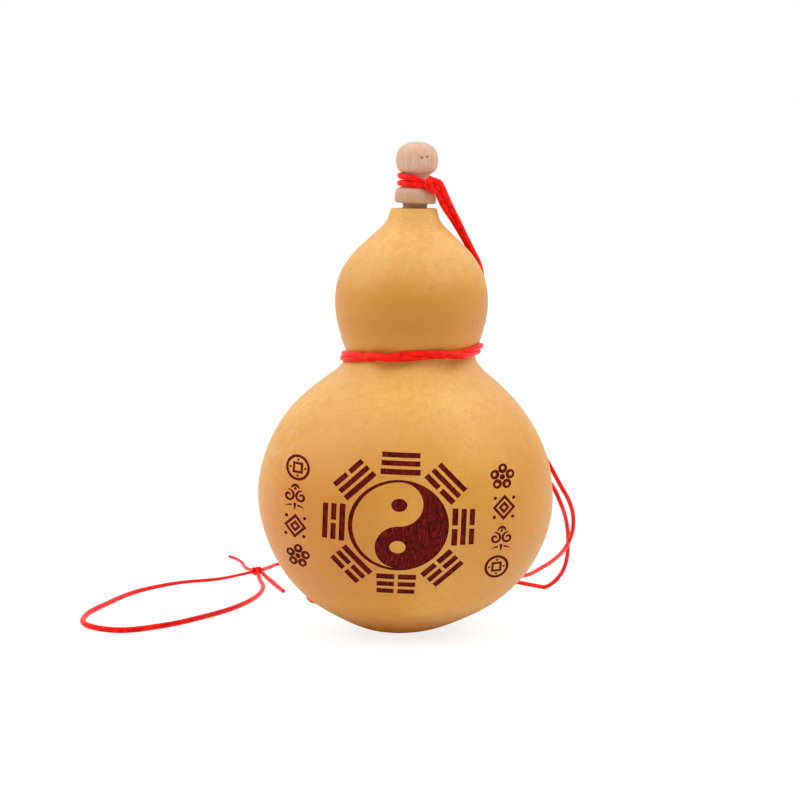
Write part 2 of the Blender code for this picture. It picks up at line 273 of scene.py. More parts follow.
def evenly_spaced(curve, spacing):
    """Picks points at equal distances along a finely divided curve."""
    travelled = [0.0]
    for before, after in zip(curve, curve[1:]):
        travelled.append(travelled[-1] + (after - before).length)
    count = max(2, round(travelled[-1] / spacing))
    goals = np.linspace(0, travelled[-1], count + 1)
    rows = np.array([tuple(point) for point in curve])
    return [Vector([float(np.interp(g, travelled, rows[:, k])) for k in range(3)]) for g in goals]


def station_curve(stations, per_span):
    """Joins (height, value) stations smoothly, as points with the value in X and height in Z."""
    return smooth_through([(value, 0.0, height) for height, value in stations], per_span)


skin_curve = station_curve(GOURD_OUTLINE, 16)
lean_heights = [point.z for point in station_curve(GOURD_LEAN, 8)]
lean_offsets = [point.x for point in station_curve(GOURD_LEAN, 8)]


def lean(height):
    """Gives how far the gourd's middle stands to the right at this height, in millimetres."""
    return float(np.interp(height, lean_heights, lean_offsets))


print("outline:", len(skin_curve), "points up to", TOP, "mm")

# %% [markdown]
# The outline becomes an edge chain, and the spin operator turns it into a closed skin. Then the
# middle line is leaned as it grew, and the skin gets the slow dents and swellings that no turned
# thing has. Each point moves by a soft noise that follows its place, so a second, slightly
# smaller skin made the same way lies at one even depth below the first.


# %% Spin an outline into a closed shape
GOURD_STEPS = 144
SLOW_DENTS, SLOW_PLACE, SLOW_SHARE = 31, Vector((3.1, 7.7, 0.4)), 0.011
QUICK_DENTS, QUICK_PLACE, QUICK_SHARE = 11, Vector((9.2, 1.3, 5.5)), 0.0022
EVEN_FOOT, EVEN_MOUTH, EVEN_WAIST = 12, 20, 14
HOLLOW_FLOOR, HOLLOW_TOP, HOLLOW_STEP = WALL * 1.25, 145.5, 6.0
BESIDE_BORE = BORE_RADIUS + 0.6
SKIN_STEP = 1.6


def spun(name, outline, steps):
    """Spins an XZ outline in millimetres around Z with the spin operator."""
    obj = drawn(name, [[point * MM for point in outline]], dimensions="3D")
    bpy.ops.object.mode_set(mode="EDIT")
    bpy.ops.mesh.select_all(action="SELECT")
    bpy.ops.mesh.spin(steps=steps, angle=math.tau, center=(0, 0, 0), axis=(0, 0, 1))
    bpy.ops.object.mode_set(mode="OBJECT")
    return closed_up(obj, merged=0.01)


def grown(obj):
    """Leans a spun gourd and gives it slow dents and swellings, a third of a millimetre deep."""
    for vertex in obj.data.vertices:
        place = vertex.co / MM
        slow = noise.noise(place / SLOW_DENTS + SLOW_PLACE)
        quick = noise.noise(place / QUICK_DENTS + QUICK_PLACE)
        near_ends = min(1.0, place.z / EVEN_FOOT, (TOP - place.z) / EVEN_MOUTH)
        near_waist = min(1.0, abs(place.z - WAIST) / EVEN_WAIST)
        swell = 1 + (SLOW_SHARE * slow + QUICK_SHARE * quick) * max(0.0, near_ends) * near_waist
        vertex.co = Vector((place.x * swell + lean(place.z), place.y * swell, place.z)) * MM


def inside_outline():
    """Gives the hollow's outline, one wall in from the skin, from the bore down to the floor."""
    inner = []
    for before, after in zip(skin_curve, skin_curve[1:]):
        along = (after - before).normalized()
        point = (before + after) / 2 + Vector((-along.z, 0, along.x)) * WALL
        if WALL * 1.2 < point.z < HOLLOW_TOP and point.x > BESIDE_BORE:
            inner.append(point)
    inner = evenly_spaced(inner, HOLLOW_STEP)
    inner.reverse()
    return inner + [Vector((0, 0, HOLLOW_FLOOR))]


navel = [Vector((radius, 0, height)) for radius, height in NAVEL]
mouth = [Vector((radius, 0, height)) for radius, height in MOUTH]
skin = evenly_spaced(skin_curve, SKIN_STEP)
gourd = spun("gourd", navel + skin + mouth + inside_outline(), GOURD_STEPS)
grown(gourd)
print("gourd:", len(gourd.data.polygons), "faces before it is engraved")

# %% [markdown]
# The artwork is drawn flat first. Each shape is a closed loop of points, and a loop inside
# another one is a hole, then ink again, and so on. A flat curve object fills such loops by
# itself and gives them thickness, so the whole drawing becomes one stack of straight prisms.
# The sign is the old one of the two halves of the world, with its eight trigrams around it. Beside
# it stand two columns of common lucky ornaments: a coin, a cloud, a lozenge and a plum blossom.


# %% Draw the artwork's closed loops, in millimetres
def circle(x, y, radius, points=72):
    """Gives a circle's loop."""
    turns = [math.tau * i / points for i in range(points)]
    return [(x + radius * math.cos(a), y + radius * math.sin(a)) for a in turns]


def arc(x, y, radius, start, end, points):
    """Gives the points of an arc between two angles in degrees."""
    turns = [math.radians(start + (end - start) * i / points) for i in range(points + 1)]
    return [(x + radius * math.cos(a), y + radius * math.sin(a)) for a in turns]


def placed(loops, x=0.0, y=0.0, turn=0.0, stretch=(1.0, 1.0)):
    """Turns loops by some degrees, stretches them and moves them."""
    c, s = math.cos(math.radians(turn)), math.sin(math.radians(turn))
    return [
        [(x + stretch[0] * (u * c - v * s), y + stretch[1] * (u * s + v * c)) for u, v in loop]
        for loop in loops
    ]


def bar(x, y, length, width):
    """Gives a straight bar's loop."""
    return [
        (x - length / 2, y - width / 2),
        (x + length / 2, y - width / 2),
        (x + length / 2, y + width / 2),
        (x - length / 2, y + width / 2),
    ]


def stroke(points, widths):
    """Gives the loop of a brush stroke along flat points, with a width at each of them."""
    left, right = [], []
    for i, (x, y) in enumerate(points):
        before, after = points[max(0, i - 1)], points[min(len(points) - 1, i + 1)]
        away = math.hypot(after[0] - before[0], after[1] - before[1])
        across = ((before[1] - after[1]) / away, (after[0] - before[0]) / away)
        left.append((x + across[0] * widths[i] / 2, y + across[1] * widths[i] / 2))
        right.append((x - across[0] * widths[i] / 2, y - across[1] * widths[i] / 2))
    return left + right[::-1]


RING_OUTSIDE, DISC_RADIUS = 17.15, 15.85
DOT_RADIUS = 2.74
BAR_LINES = ((19.35, 13.7, 2.0), (22.35, 13.3, 1.8), (25.25, 13.1, 1.8))
BAR_GAP = 1.25
TRIGRAMS = ["111", "011", "010", "001", "000", "100", "101", "110"]


def taiji():
    """Gives the sign: a ring, its light half as a hole, and a dot of each kind."""
    half = DISC_RADIUS / 2
    light = arc(0, 0, DISC_RADIUS, 90, 270, 90)
    light += arc(0, -half, half, 270, 90, 60)[1:]
    light += arc(0, half, half, -90, 90, 60)[1:-1]
    light = placed([light], x=0.2, stretch=(1.0, 1.025))
    dot = placed([circle(0, 0, DOT_RADIUS, 48)], stretch=(1.0, 0.88))
    dots = placed(dot, y=half) + placed(dot, y=-half)
    return [circle(0, 0, RING_OUTSIDE, 144), *light, *dots]


def trigrams():
    """Gives the eight groups of three bars, clockwise from the top, read from the inside."""
    loops = []
    for number, lines in enumerate(TRIGRAMS):
        for line, (reach, length, width) in zip(lines, BAR_LINES):
            if line == "1":
                bars = [bar(0, reach, length, width)]
            else:
                part = (length - BAR_GAP) / 2
                shift = (part + BAR_GAP) / 2
                bars = [bar(-shift, reach, part, width), bar(shift, reach, part, width)]
            loops += placed(bars, turn=-45 * number)
    return loops


SIGN_X, SIGN_TURN = -2.5, -2.3
emblem = placed(taiji(), x=SIGN_X, y=45.5, turn=SIGN_TURN, stretch=(1.0, 0.915))
emblem += placed(trigrams(), x=SIGN_X, y=45.6, turn=SIGN_TURN, stretch=(0.99, 0.94))
print("sign:", len(emblem), "loops")


# %% Draw the ornaments of the two columns
def coin():
    """A round coin with a square hole."""
    square = [bar(0, 0, 3.7, 3.7), bar(0, 0, 2.0, 2.0)]
    dots = [circle(2.62 * math.cos(a), 2.62 * math.sin(a), 0.42, 16) for a in QUARTERS]
    return [circle(0, 0, 4.3), circle(0, 0, 3.35)] + square + dots


def lozenge():
    """Two nested lozenges with a dot at each side."""
    loops = []
    for reach in (4.4, 3.05, 2.15, 0.85):
        loops.append([(reach * 0.92, 0), (0, reach), (-reach * 0.92, 0), (0, -reach)])
    return loops + [circle(3.25 * u, 3.25 * v, 0.6, 16) for u in (-1, 1) for v in (-1, 1)]


def blossom():
    """Five round petals, each with a light heart, around a centre."""
    loops = [circle(0, 0, 0.95, 32)]
    for number in range(5):
        turn = math.radians(90 + 72 * number)
        u, v = math.cos(turn), math.sin(turn)
        loops += [circle(2.8 * u, 2.8 * v, 1.6, 40), circle(3.0 * u, 3.0 * v, 0.6, 24)]
    return loops


def cloud():
    """A cloud of two curls, a crown above them and a tail below."""
    loops = []
    for side in (-1, 1):
        curl = []
        for turn in [math.radians(10 * i) for i in range(47)]:
            reach = 0.35 + 0.215 * turn
            curl.append((side * (2.18 - reach * math.cos(turn)), 0.3 + reach * math.sin(turn)))
        loops.append(stroke(curl, [0.35 + 0.5 * min(1, i / 12, (46 - i) / 6) for i in range(47)]))
        flick = [(side * (1.0 + 0.28 * i), -2.75 - 0.012 * i * i) for i in range(9)]
        loops.append(stroke(flick, [0.75 - 0.07 * i for i in range(9)]))
    crown = arc(0, 2.75, 1.35, 5, 175, 24)
    loops.append(stroke(crown, [0.3 + 0.7 * math.sin(math.pi * i / 24) for i in range(25)]))
    loops.append(circle(0, 2.95, 0.5, 20))
    tail = [(0.12 * math.sin(i / 3), -1.95 - 0.24 * i) for i in range(11)]
    loops.append(stroke(tail, [1.15 - 0.09 * i for i in range(11)]))
    return loops


QUARTERS = [math.radians(90 * i) for i in range(4)]
COLUMNS = [
    (coin, -37.1, 63.3),
    (cloud, -38.1, 53.3),
    (lozenge, -38.1, 43.2),
    (blossom, -37.3, 32.2),
    (blossom, 33.1, 60.7),
    (lozenge, 33.7, 50.3),
    (cloud, 32.8, 39.4),
    (coin, 31.3, 29.2),
]
COLUMN_TURN = -3.0
ornaments = []
for ornament, x, z in COLUMNS:
    ornaments += placed(ornament(), x=x, y=z, turn=COLUMN_TURN)
print("ornaments:", len(ornaments), "loops in two columns")

# %% [markdown]
# A laser burns the rind away to one even depth wherever the drawing is dark. To cut that, the
# prisms are driven straight into the front, and a second gourd, a quarter of a millimetre smaller
# all over, is taken out of them. What stays of the prisms is exactly the layer that the laser
# burns, and one more boolean takes that layer out of the rind.

# %% Make the prisms, and cut the engraving
ENGRAVED = 0.24
PRISM_MIDDLE, PRISM_HALF = -42.0, 21.0


def prisms(name, loops):
    """Fills flat loops, thickens them, and stands them up in front of the gourd."""
    flat = [[(x * MM, y * MM, 0) for x, y in loop] for loop in loops]
    obj = drawn(name, flat, dimensions="2D", fill_mode="BOTH", extrude=PRISM_HALF * MM)
    upright = Matrix.Rotation(math.pi / 2, 4, "X")
    obj.data.transform(Matrix.Translation((0, PRISM_MIDDLE * MM, 0)) @ upright)
    return closed_up(obj, merged=0.002)


def cut_away(body, tool):
    """Takes one closed shape out of another and deletes the tool."""
    only(body)
    boolean = body.modifiers.new("cut", "BOOLEAN")
    boolean.operation = "DIFFERENCE"
    boolean.solver = "MANIFOLD"
    boolean.object = tool
    bpy.ops.object.modifier_apply(modifier=boolean.name)
    bpy.data.objects.remove(tool)


core = spun("core", navel + skin + [Vector((0, 0, RIM_TOP))], GOURD_STEPS)
grown(core)
bm = bmesh.new()
bm.from_mesh(core.data)
bm.normal_update()
for vertex in bm.verts:
    vertex.co -= vertex.normal * ENGRAVED * MM
bm.to_mesh(core.data)
bm.free()
burn = prisms("burn", emblem + ornaments)
cut_away(burn, core)
skin_tree = BVHTree.FromObject(gourd, bpy.context.evaluated_depsgraph_get())
cut_away(gourd, burn)
print("gourd:", len(gourd.data.polygons), "faces after it is engraved")

# %% [markdown]
# Laser-burnt rind is scorched to a dark red-brown, with fine upright scan lines where the beam
# went to and fro. The cut faces are found by their depth: every face whose middle lies below the
# old skin, on the front, is burnt and gets the second material slot.

# %% Find the burnt faces and shade the rind
RIND, BURNT = 0, 1
# A burnt face stands on the front, below a height, under the old skin and outside the hollow.
BURNT_FRONT, BURNT_TOP, BURNT_DEPTH = -15, 85, 0.06
DEEPEST_BURN = 1.7
skin_heights = [point.z for point in skin_curve]
skin_radii = [point.x for point in skin_curve]
gourd.data.materials.clear()
for _ in (RIND, BURNT):
    gourd.data.materials.append(None)
bm = bmesh.new()
bm.from_mesh(gourd.data)
burnt_faces = 0
for face in bm.faces:
    middle = face.calc_center_median()
    radial = math.hypot(middle.x - lean(middle.z / MM) * MM, middle.y)
    skin_radius = np.interp(middle.z / MM, skin_heights, skin_radii) * MM
    near_skin = radial > skin_radius - DEEPEST_BURN * MM
    if middle.y < BURNT_FRONT * MM and near_skin and middle.z < BURNT_TOP * MM:
        depth = skin_tree.find_nearest(middle)[3]
        if depth > BURNT_DEPTH * MM:
            face.material_index = BURNT
            burnt_faces += 1
bm.to_mesh(gourd.data)
bm.free()
only(gourd)
bpy.ops.object.shade_smooth_by_angle(angle=math.radians(32))
print("burnt faces:", burnt_faces)


# %% [markdown]
# Dried rind is woody and a little waxy. Its colour runs from straw to ochre in patches as wide as
# a thumb, and it changes with height: paler on top of each bulb, partly its own tone and partly
# painted highlight from the light above, deeper ochre on the lower half of the small bulb, partly
# its own tone and partly painted shade under the overhang, and brown at the very bottom, partly its
# own colour and partly painted contact shadow. Over that come a finer mottling, a few rosy blushes,
# painted shade on both flanks of the big bulb, a patch of pale streaks on its left shoulder that is
# painted reflection, dark specks and faint smudges. The wax gives a soft sheen, which is worn off
# underneath. Each noise is scaled by the real size of what it shows.


# %% The rind and the burnt rind
RIND_POLISH = 0.3
SHADED_TOP = 0.155
# Ochre on the lower half of the small bulb: partly the rind's own tone, partly painted shade where
# that half faces down under its overhang.
OCHRE_AND_PAINTED_SHADE_REACH = [
    (0.0, "#484848"),
    (0.3, "#505050"),
    (0.62, "#303030"),
    (0.72, "#e4e4e4"),
    (0.80, "#c0c0c0"),
    (0.93, "#000000"),
]
# Paler tops of each bulb: partly the rind's own tone, partly painted highlight from the light above.
PALE_AND_PAINTED_HIGHLIGHT_REACH = [
    (0.30, "#000000"),
    (0.46, "#585858"),
    (0.60, "#b4b4b4"),
    (0.68, "#303030"),
    (0.78, "#181818"),
    (0.87, "#b4b4b4"),
]


def near(tree, place, centre, core, rim, strength):
    """Gives a strength inside the core of a round patch, fading to nothing at its rim, in metres."""
    away = add_node(tree, "VectorMath", {0: place, 1: centre}, operation="DISTANCE").outputs["Value"]
    return mapped(tree, away, core, rim, strength, 0.0, "SMOOTHSTEP")


def scattered(tree, place, spacing, core, rim, strength):
    """Gives round dots, about one in this many millimetres each way."""
    inputs = {"Vector": place, "Scale": per_mm(spacing), "Randomness": 1.0}
    away = add_node(tree, "TexVoronoi", inputs).outputs["Distance"]
    return mapped(tree, away, core, rim, strength, 0.0)


def make_rind():
    """Makes the dried rind, with one layer of colour laid over another."""
    material, tree, shader = new_material(
        "dried_gourd_rind",
        IOR=1.5,
        Coat_Weight=RIND_POLISH,
        Coat_Roughness=0.33,
        Specular_IOR_Level=RIND_POLISH,
    )
    place = add_node(tree, "TexCoord").outputs["Object"]
    height = add_node(tree, "SeparateXYZ", {"Vector": place}).outputs["Z"]
    share_up = mapped(tree, height, 0.0, SHADED_TOP)
    patches = clouded(tree, place, 26, 3)
    grain = clouded(tree, place, 0.85, 3, Roughness=0.7)
    mottle = clouded(tree, place, 3.2, 5)
    blush = clouded(tree, place, 38, 2)
    # A patch of pale streaks on the big bulb's left shoulder: painted reflection of the white room.
    streak_noise = clouded(tree, place, 3.4, 5, Distortion=0.3)
    painted_reflection_streaks = mapped(tree, streak_noise, 0.46, 0.66, 0.0, 0.25)
    shoulder = near(tree, place, (-0.046, -0.019, 0.069), 0.005, 0.019, 1.0)
    layers = {
        # Ochre: partly own tone, partly painted shade on the small bulb's lower half.
        "ochre": ("#b9721a", coloured(tree, share_up, OCHRE_AND_PAINTED_SHADE_REACH)),
        # Paler tops: partly own tone, partly painted highlight.
        "pale tops and painted highlight": ("#e0b36e", coloured(tree, share_up, PALE_AND_PAINTED_HIGHLIGHT_REACH)),
        "mottling": ("#bb7c22", mapped(tree, mottle, 0.42, 0.75, 0.0, 0.3)),
        "blushes": ("#d58a52", mapped(tree, blush, 0.5, 0.72, 0.0, 0.38)),
        "grain": ("#b8842a", mapped(tree, grain, 0.42, 0.68, 0.0, 0.42)),
        # Darker patches on the big bulb's left and right flanks: painted shade where less light
        # falls.
        "painted shade left flank": ("#bf721c", near(tree, place, (-0.034, -0.034, 0.038), 0.012, 0.052, 0.8)),
        "painted shade right flank": ("#bf7a20", near(tree, place, (0.044, -0.026, 0.040), 0.012, 0.044, 0.62)),
        # Brown bottom: partly the rind's own colour, partly painted contact shadow from the floor.
        "underside and painted contact shadow": ("#84400a", mapped(tree, height, 0.001, 0.015, 0.85, 0.0, "SMOOTHSTEP")),
        # Pale streaky patch: painted reflection.
        "painted reflection on the left shoulder": ("#e2c2a4", computed(tree, "MULTIPLY", painted_reflection_streaks, shoulder)),
        "specks": ("#8a5424", scattered(tree, place, 7.5, 0.022, 0.05, 0.55)),
        "smudges": (
            "#7e4a22",
            computed(tree, "MULTIPLY", scattered(tree, place, 15, 0.01, 0.075, 0.6), grain),
        ),
    }
    colour = coloured(tree, patches, [(0.32, "#cc8c28"), (0.5, "#d3962f"), (0.68, "#dba13b")])
    for paint, share in layers.values():
        colour = laid_over(tree, share, colour, paint)
    tree.links.new(colour, shader.inputs["Base Color"])
    tree.links.new(mapped(tree, mottle, 0.3, 0.7, 0.5, 0.62), shader.inputs["Roughness"])
    polish = mapped(tree, height, 0.004, 0.024, 0.0, RIND_POLISH)
    for socket in ("Coat Weight", "Specular IOR Level"):
        tree.links.new(polish, shader.inputs[socket])
    pores = bumped(tree, clouded(tree, place, 0.8, 4), 0.12, 0.1)
    tree.links.new(bumped(tree, mottle, 0.2, 0.2, Normal=pores), shader.inputs["Normal"])
    return material


def make_burnt():
    """Makes the laser-burnt rind, with upright scan lines 0.4 mm apart."""
    material, tree, shader = new_material("laser_burnt_rind", IOR=1.4, Specular_IOR_Level=0.1)
    place = add_node(tree, "TexCoord").outputs["Object"]
    upright = add_node(tree, "Mapping", {"Vector": place, "Scale": (1.0, 0.2, 0.2)}).outputs[0]
    streaks = clouded(tree, upright, 0.42, 4, Roughness=0.75)
    scorched = coloured(tree, streaks, [(0.38, "#310405"), (0.5, "#520809"), (0.64, "#862214")])
    redder = mapped(tree, clouded(tree, place, 5, 2), 0.45, 0.7, 0.0, 0.5)
    tree.links.new(laid_over(tree, redder, scorched, "#74090c"), shader.inputs["Base Color"])
    shader.inputs["Roughness"].default_value = 0.72
    tree.links.new(bumped(tree, streaks, 0.5, 0.12), shader.inputs["Normal"])
    return material


gourd.data.materials[RIND] = make_rind()
gourd.data.materials[BURNT] = make_burnt()
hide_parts("gourd_shell")
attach(gourd, "root")
print("gourd:", [m.name for m in gourd.data.materials])

# %% [markdown]
# The stopper is turned from one pale, fine-grained stick on a lathe: a tapered stem in the mouth,
# a flange that stands on the rim, a neck for the cord and a ball to hold. It is spun like the
# gourd, with the small rounded edges that sandpaper leaves. Two little knots of darker wood show
# as pits on the ball's front.

# %% Spin the stopper and cut its two pits
STOPPER_OUTLINE = [
    (139.6, 0.0),
    (139.6, 3.7),
    (139.9, 4.1),
    (140.4, 4.25),
    (151.0, 4.42),
    (153.1, 4.45),
    (153.3, 4.75),
    (153.32, 6.6),
    (153.45, 7.02),
    (153.9, 7.28),
    (155.4, 7.34),
    (156.8, 7.26),
    (157.7, 7.0),
    (158.35, 6.5),
    (158.75, 5.9),
    (158.95, 5.0),
    (159.2, 4.65),
    (161.5, 4.6),
    (163.4, 4.65),
    (163.9, 5.0),
    (164.3, 5.75),
    (165.1, 6.72),
    (166.6, 7.34),
    (168.6, 7.52),
    (170.3, 7.32),
    (171.8, 6.75),
    (173.2, 5.65),
    (174.2, 4.1),
    (174.8, 2.3),
    (175.0, 0.0),
]
STOPPER_TILT = math.radians(2.5)
STOPPER_SHIFT = 0.38
STOPPER_STEPS = 96
# Place to the right, height and radius of each pit.
PITS = [(5.75, 169.4, 0.45), (7.6, 169.7, 0.5)]
PIT_SHAPE = (1.3, 0.7, 0.8)
PIT_DEPTH, IN_FRONT = 0.03, -30
PALE, DARK = 0, 1
stopper_pose = (
    Matrix.Translation((lean(TOP) + STOPPER_SHIFT, 0, TOP))
    @ Matrix.Rotation(STOPPER_TILT, 4, "Y")
    @ Matrix.Translation((0, 0, -TOP))
)
stopper = spun("stopper_turned", station_curve(STOPPER_OUTLINE, 4), STOPPER_STEPS)
stopper.data.transform(Matrix.Scale(MM, 4) @ stopper_pose @ Matrix.Scale(1 / MM, 4))
stopper_tree = BVHTree.FromObject(stopper, bpy.context.evaluated_depsgraph_get())
for x, z, size in PITS:
    spot, normal, _, _ = stopper_tree.ray_cast(Vector((x, IN_FRONT, z)) * MM, Vector((0, 1, 0)))
    bpy.ops.mesh.primitive_ico_sphere_add(subdivisions=3, radius=size * MM, location=spot)
    pit = bpy.context.object
    pit.scale = PIT_SHAPE
    bpy.ops.object.transform_apply(location=True, rotation=True, scale=True)
    cut_away(stopper, pit)
only(stopper)
bpy.ops.object.shade_smooth_by_angle(angle=math.radians(40))
stopper.data.materials.clear()
for _ in (PALE, DARK):
    stopper.data.materials.append(None)
pit_faces = 0
for polygon in stopper.data.polygons:
    if stopper_tree.find_nearest(polygon.center)[3] > PIT_DEPTH * MM:
        polygon.material_index = DARK
        pit_faces += 1
print("stopper:", len(stopper.data.polygons), "faces,", pit_faces, "of them in the pits")


# %% The stopper's wood
def make_pale_wood(name, light, middle, dark):
    """Makes a pale, close-grained wood with upright fibres, and painted shade low down."""
    material, tree, shader = new_material(name, IOR=1.47, Specular_IOR_Level=0.35)
    place = add_node(tree, "TexCoord").outputs["Object"]
    along = add_node(tree, "Mapping", {"Vector": place, "Scale": (1.0, 1.0, 0.09)}).outputs[0]
    fibres = clouded(tree, along, 0.55, 4, Roughness=0.6)
    bands = clouded(tree, along, 3.4, 2)
    both = add_node(tree, "Mix", {0: 0.42, 2: fibres, 3: bands}, data_type="FLOAT").outputs[0]
    colour = coloured(tree, both, [(0.3, dark), (0.5, middle), (0.7, light)])
    height = add_node(tree, "SeparateXYZ", {"Vector": place}).outputs["Z"]
    # Painted shade: from the neck down to the rim and the stem in the mouth, the wood is painted
    # darker and warmer, where the gourd shades it and glows orange on it.
    painted_shade_low = mapped(tree, height, 0.1515, 0.1625, 0.65, 0.0)
    tree.links.new(laid_over(tree, painted_shade_low, colour, "#a87542"), shader.inputs["Base Color"])
    shader.inputs["Roughness"].default_value = 0.6
    tree.links.new(bumped(tree, fibres, 0.12, 0.06), shader.inputs["Normal"])
    return material


stopper.data.materials[PALE] = make_pale_wood("turned_beech", "#d6b299", "#c9a287", "#b98e6f")
stopper.data.materials[DARK] = make_pale_wood("dark_wood_knot", "#b58358", "#a5744a", "#93643c")
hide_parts("stopper")
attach(stopper, "root")
print("stopper:", [m.name for m in stopper.data.materials])

# %% [markdown]
# The cord is satin, about two millimetres thick where it is tied and a little slimmer where it
# hangs. Each strand is swept as a round tube along its own route, with a UV map that runs around
# it and along it in millimetres, so that its fine slanting threads follow every bend.


# %% Sweep a tube along a route
QUAD_CORNERS = ((0, 0), (1, 0), (1, 1), (0, 1))
FLOOR_GAP = 0.02
BLUNT_END = 0.02


def frames_along(rows, closed):
    """Gives a direction across the route at each point, turned as little as possible."""
    count = len(rows)
    ahead = np.roll(rows, -1, 0) - np.roll(rows, 1, 0)
    if not closed:
        ahead[0], ahead[-1] = rows[1] - rows[0], rows[-1] - rows[-2]
    ahead /= np.linalg.norm(ahead, axis=1)[:, None]
    side = np.cross(ahead[0], (0.0, 0.0, 1.0))
    if np.linalg.norm(side) < 0.1:
        side = np.cross(ahead[0], (0.0, 1.0, 0.0))
    sides = [side / np.linalg.norm(side)]
    for i in range(1, count + (1 if closed else 0)):
        side = sides[-1] - ahead[i % count] * np.dot(sides[-1], ahead[i % count])
        sides.append(side / np.linalg.norm(side))
    twist = 0.0
    if closed:
        last, first = sides.pop(), sides[0]
        twist = math.atan2(np.dot(np.cross(last, first), ahead[0]), np.dot(last, first))
    sides = np.array(sides)
    ups = np.cross(ahead, sides)
    angles = twist * np.arange(count) / count
    c, s = np.cos(angles)[:, None], np.sin(angles)[:, None]
    return sides * c + ups * s, ups * c - sides * s


def swept(name, route, radius, around=14, step=0.7, closed=False, fullness=((0, 1), (1, 1))):
    """Sweeps a round cord with rounded ends along a route in millimetres.

    The fullness says, at shares of the cord's length, how much thicker or thinner it is there.
    """
    points = evenly_spaced(route, step)
    rows = np.array([tuple(p) for p in (points[:-1] if closed else points)])
    travelled = np.arange(len(rows)) * np.linalg.norm(rows[1] - rows[0])
    widths = radius * np.interp(travelled / travelled[-1], *zip(*fullness))
    if not closed:
        reach = np.minimum(travelled, travelled[-1] - travelled) + BLUNT_END
        widths = widths * np.sqrt(1 - np.clip(1 - reach / radius, 0, 1) ** 2)
    rows[:, 2] = np.maximum(rows[:, 2], widths + FLOOR_GAP)
    sides, ups = frames_along(rows, closed)
    turns = math.tau * np.arange(around) / around
    c, s = np.cos(turns)[None, :, None], np.sin(turns)[None, :, None]
    rings = rows[:, None] + widths[:, None, None] * (c * sides[:, None] + s * ups[:, None])
    vertices = (rings.reshape(-1, 3) * MM).tolist()
    count = len(rows)
    faces, uvs = [], []
    for i in range(count if closed else count - 1):
        k = (i + 1) % count
        along = travelled[i], travelled[i] + travelled[1]
        for j in range(around):
            m = (j + 1) % around
            faces.append((i * around + j, i * around + m, k * around + m, k * around + j))
            across = j / around, (j + 1) / around
            uvs += [(across[u], along[v]) for u, v in QUAD_CORNERS]
    if not closed:
        faces += [tuple(range(around))[::-1], tuple((count - 1) * around + j for j in range(around))]
        uvs += [(j / around, 0.0) for j in range(around)][::-1]
        uvs += [(j / around, travelled[-1]) for j in range(around)]
    mesh = bpy.data.meshes.new(name)
    mesh.from_pydata(vertices, [], faces)
    layer = mesh.uv_layers.new(name="along_the_cord")
    layer.data.foreach_set("uv", np.array(uvs, float).ravel())
    mesh.shade_smooth()
    obj = bpy.data.objects.new(name, mesh)
    bpy.context.scene.collection.objects.link(obj)
    return closed_up(obj)


def joined(name, parts):
    """Joins several strands that are one tied cord into one piece."""
    only(parts[0])
    for part in parts[1:]:
        part.select_set(True)
    bpy.ops.object.join()
    parts[0].name = name
    return parts[0]


print("strands are swept as tubes of 14 sides")

# %% [markdown]
# A knot is where a cord's own thickness decides the shape, so the one behind the waist is pulled
# tight as a real one is. A loose overhand knot is laid out as a curve. Then, again and again, the
# curve is shortened like a pulled string, and wherever two passes come closer than one thickness
# they push each other apart. What is left is a tight overhand knot.


# %% Pull one overhand knot tight
STRAIGHTENING, PUSHING_APART = 0.25, 0.35
TIED_RADIUS, HANGING_RADIUS = 0.95, 0.78


def respaced(rows, count):
    """Spreads a route's points evenly again, and gives its length too."""
    steps = np.linalg.norm(np.diff(rows, axis=0), axis=1)
    travelled = np.concatenate([[0.0], np.cumsum(steps)])
    goals = np.linspace(0, travelled[-1], count)
    return np.stack([np.interp(goals, travelled, rows[:, k]) for k in range(3)], 1), travelled[-1]


def tight_overhand(thickness, rounds=420, count=100, half_length=7.5):
    """Pulls a loose overhand knot tight along Z, for a cord this thick in millimetres."""
    t = np.linspace(-2.35, 2.35, count)
    rows = np.stack([1.5 * (t**3 - 3 * t), 1.12 * (t**4 - 4 * t**2 + 2), 0.45 * (t**5 - 10 * t)], 1)
    rows[0], rows[-1] = (0, 0, -half_length), (0, 0, half_length)
    numbers = np.arange(count)
    for _ in range(rounds):
        rows[1:-1] += STRAIGHTENING * (rows[:-2] + rows[2:] - 2 * rows[1:-1])
        rows, length = respaced(rows, count)
        neighbours = math.ceil(1.5 * thickness * (count - 1) / length)
        for _ in range(3):
            away = rows[:, None] - rows[None]
            distance = np.linalg.norm(away, axis=2) + 1e-9
            close = (distance < thickness) & (abs(numbers[:, None] - numbers[None]) > neighbours)
            push = np.where(close, (thickness - distance) * PUSHING_APART, 0)[..., None]
            push = push * away / distance[..., None]
            move = push.sum(1) / np.maximum(1, close.sum(1) ** 0.5)[:, None]
            move[0] = move[-1] = 0
            rows += move
    return rows


overhand = tight_overhand(2 * TIED_RADIUS)


def knot_route(centre, axis, roll, thickness, reach):
    """Places the tight knot around a centre, with its ends along an axis, and cuts them short."""
    scale = thickness / (2 * TIED_RADIUS)
    turn = Vector(axis).to_track_quat("Z", "Y").to_matrix()
    turn = turn @ Matrix.Rotation(math.radians(roll), 3, "Z")
    kept = overhand[abs(overhand[:, 2]) <= reach]
    return [Vector(centre) + turn @ (Vector(row) * scale) for row in kept]


print("overhand knot:", len(overhand), "points,", np.round(np.ptp(overhand, axis=0), 1), "mm")

# %% [markdown]
# The routes come from the solids, in millimetres. Where a strand lies on the gourd, a ray shot at
# the gourd's middle finds the skin, and the strand is laid half its own thickness off it. The hitch
# at the stopper's neck is listed turn by turn, because its own pull and the doubled line
# under it give it a shape that no plain knot has. Two strands cross each other twice on the front
# of the waist, and the upper one at each crossing is pressed flat and wide.

